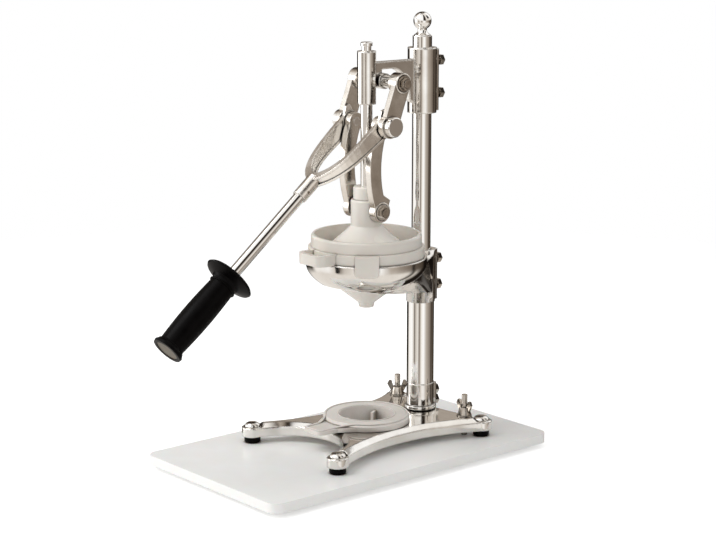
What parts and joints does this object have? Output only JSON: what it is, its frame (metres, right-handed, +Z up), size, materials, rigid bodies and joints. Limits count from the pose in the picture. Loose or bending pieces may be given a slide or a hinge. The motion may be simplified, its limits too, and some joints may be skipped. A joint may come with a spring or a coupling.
{
  "type": "lever citrus juice press",
  "caption": "Upright lever citrus press: polished column and linkage, white presser and cup, four-legged base on a white board, long handle with a black rubber grip.",
  "frame": {"origin": "centre of the object's box, on the surface that it stands on", "axes": "+Z up along the column, -Y forward along the lever's handle, +X across the press"},
  "size_m": [0.214, 0.4206, 0.4538],
  "materials": {
    "white_board": "satin",
    "polished_alu": "polished",
    "chrome": "polished",
    "steel": "satin",
    "white_plastic": "gloss",
    "ivory_plastic": "satin",
    "black_rubber": "matte",
    "bronze": "satin",
    "grip_plug": "matte"
  },
  "bodies": {
    "stand": {"baseboard": "white_board", "board_feet": "black_rubber", "board_foot_screws": "steel", "base_casting": "polished_alu", "base_feet": "black_rubber", "leg_cap_screws": "polished_alu", "base_set_bolts": "steel", "hold_down_studs": "steel", "stud_washers": "steel", "column_post": "chrome", "column_spacer": "chrome", "ball_finial": "chrome", "top_bracket": "polished_alu", "top_bracket_bolts": "steel", "guide_bush": "bronze", "pivot_axle": "steel", "pivot_spacers": "chrome", "pivot_washers": "steel", "pivot_nuts": "steel", "bowl_bracket": "polished_alu", "bowl_bracket_bolts": "steel", "juice_cup": "white_plastic", "strainer": "ivory_plastic"},
    "lever": {"lever_yoke": "polished_alu", "upper_link_left": "polished_alu", "upper_link_right": "polished_alu", "knee_pins": "chrome", "handle_tube": "chrome", "handle_lock_pin": "steel", "hand_grip": "black_rubber", "grip_end_plug": "grip_plug"},
    "links": {"lower_link_left": "polished_alu", "lower_link_right": "polished_alu", "link_pins": "steel", "link_washers": "steel", "link_nuts": "steel"},
    "ram": {"ram_rod": "chrome", "ram_top_screw": "chrome", "presser_cone": "white_plastic", "presser_cross_pin": "steel"},
    "seat": {"jug_seat": "ivory_plastic"},
    "left_wing": {"wing_nut_left": "steel"},
    "right_wing": {"wing_nut_right": "steel"}
  },
  "joints": [
    {"name": "lever_swing", "type": "hinge", "parent": "stand", "child": "lever", "pos_m": [0, 0.0655, 0.3878], "axis": [-1, 0, 0], "range_deg": [0, 100]},
    {"name": "link_swing", "type": "hinge", "parent": "lever", "child": "links", "pos_m": [0, 0.04952, 0.34584], "axis": [-1, 0, 0], "range_deg": [-115, 0]},
    {"name": "ram_slide", "type": "slide", "parent": "stand", "child": "ram", "axis": [0, 0, 1], "range_m": [0, 0.0677]},
    {"name": "seat_lift", "type": "slide", "parent": "stand", "child": "seat", "axis": [0, 0, 1], "range_m": [0, 0.06]},
    {"name": "left_wing_spin", "type": "hinge", "parent": "stand", "child": "left_wing", "pos_m": [-0.053, 0.1385, 0.04], "axis": [0, 0, 1], "range_deg": [0, 360]},
    {"name": "right_wing_spin", "type": "hinge", "parent": "stand", "child": "right_wing", "pos_m": [0.053, 0.1385, 0.04], "axis": [0, 0, 1], "range_deg": [0, 360]}
  ],
  "couplings": [
    {"joint": "link_swing", "follows": "lever_swing", "ratio": -1.1489},
    {"joint": "ram_slide", "follows": "lever_swing", "m_per_rad": 0.03877}
  ]
}
